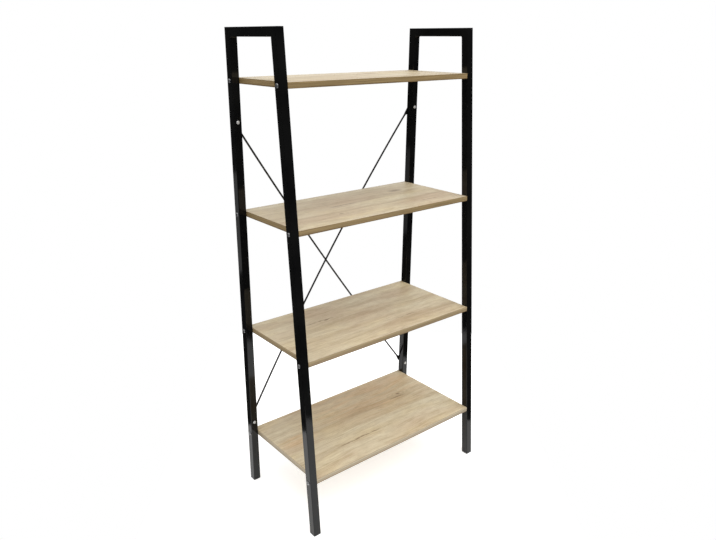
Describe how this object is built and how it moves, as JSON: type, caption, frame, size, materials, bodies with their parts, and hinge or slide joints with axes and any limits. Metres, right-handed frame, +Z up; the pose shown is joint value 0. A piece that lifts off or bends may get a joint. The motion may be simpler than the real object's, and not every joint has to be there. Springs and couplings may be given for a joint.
{
  "type": "pipe shelving unit",
  "caption": "Freestanding ladder-style shelving unit: black square-tube side frames with raked front legs, oak-effect boards that get deeper towards the floor, and a crossed-rod back brace.",
  "frame": {"origin": "on the floor, in the middle of the unit's outline", "axes": "+X to the right seen from the front, +Y to the back, +Z up; the front legs lean back"},
  "size_m": [0.726, 0.4178, 1.47],
  "materials": {
    "powder_coat": "semi-gloss black powder coat on steel tube",
    "rod_paint": "satin black paint on steel rod",
    "oak_board": "light oak melamine on chipboard, matt",
    "oak_edge": "brown oak edge band, matt",
    "zinc_plate": "bright zinc plate",
    "foot_plastic": "black moulded plastic"
  },
  "bodies": {
    "root": {"left_front_leg": "powder_coat", "left_front_foot": "foot_plastic", "left_rear_leg": "powder_coat", "left_rear_foot": "foot_plastic", "left_top_rail": "powder_coat", "left_frame_welds": "powder_coat", "right_front_leg": "powder_coat", "right_front_foot": "foot_plastic", "right_rear_leg": "powder_coat", "right_rear_foot": "foot_plastic", "right_top_rail": "powder_coat", "right_frame_welds": "powder_coat", "bottom_shelf_board": "oak_board", "bottom_shelf_front_band": "oak_edge", "bottom_shelf_rear_band": "oak_edge", "bottom_shelf_end_bands": "oak_edge", "bottom_shelf_sleeves": "zinc_plate", "bottom_shelf_screws": "zinc_plate", "lower_shelf_board": "oak_board", "lower_shelf_front_band": "oak_edge", "lower_shelf_rear_band": "oak_edge", "lower_shelf_end_bands": "oak_edge", "lower_shelf_sleeves": "zinc_plate", "lower_shelf_screws": "zinc_plate", "upper_shelf_board": "oak_board", "upper_shelf_front_band": "oak_edge", "upper_shelf_rear_band": "oak_edge", "upper_shelf_end_bands": "oak_edge", "upper_shelf_sleeves": "zinc_plate", "upper_shelf_screws": "zinc_plate", "top_shelf_board": "oak_board", "top_shelf_front_band": "oak_edge", "top_shelf_rear_band": "oak_edge", "top_shelf_end_bands": "oak_edge", "top_shelf_sleeves": "zinc_plate", "top_shelf_screws": "zinc_plate", "inner_brace_rod": "rod_paint", "outer_brace_rod": "rod_paint", "brace_bolts": "zinc_plate", "brace_washers": "zinc_plate", "brace_nuts": "zinc_plate"}
  },
  "joints": []
}
